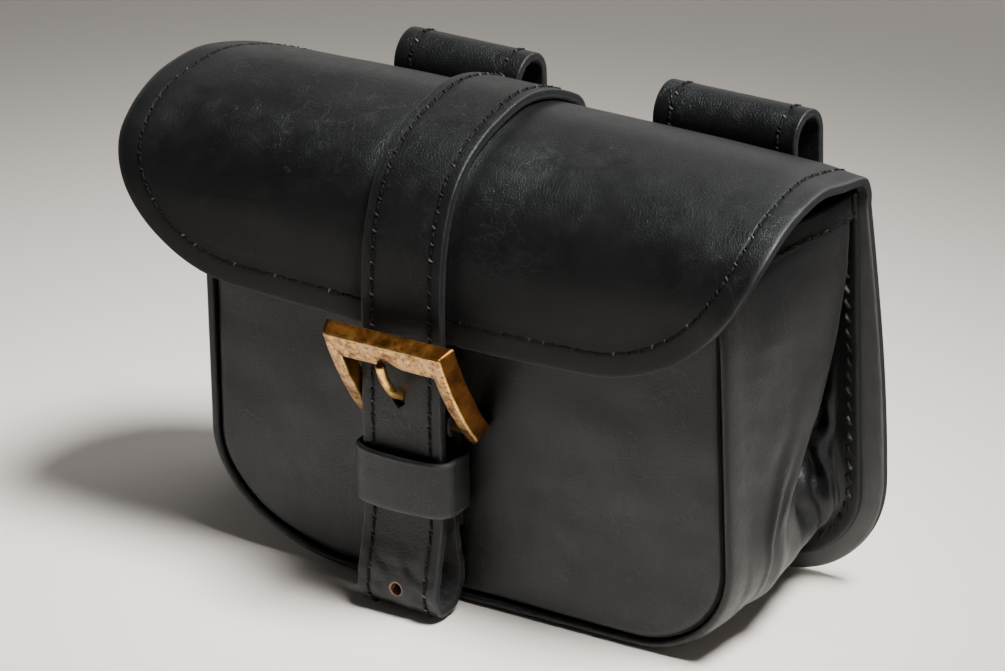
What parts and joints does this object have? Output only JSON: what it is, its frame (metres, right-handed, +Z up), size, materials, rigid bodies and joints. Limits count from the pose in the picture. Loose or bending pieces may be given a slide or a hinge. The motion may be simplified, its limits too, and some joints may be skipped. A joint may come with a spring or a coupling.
{
  "type": "belt pouch",
  "caption": "Black leather belt pouch with a rounded flap, a closing strap with an antique brass buckle and keeper, pleated side gusset and belt loops at the back.",
  "frame": {"origin": "middle of the bottom of the pouch's bounding box, on the surface that it stands on", "axes": "+X to the right as seen from the front, +Y to the back, towards the belt, +Z up"},
  "size_m": [0.2258, 0.116, 0.1525],
  "materials": {
    "leather": "satin black leather with fine grain",
    "strap_leather": "satin black strap leather",
    "brass": "antique brass with patina"
  },
  "bodies": {
    "root": {"back_and_flap": "leather", "front_panel": "leather", "gusset": "leather", "closing_strap": "strap_leather", "buckle_frame": "brass", "buckle_prong": "brass", "buckle_chape": "strap_leather", "keeper_loop": "strap_leather", "belt_loop_left": "strap_leather", "belt_loop_right": "strap_leather"}
  },
  "joints": []
}
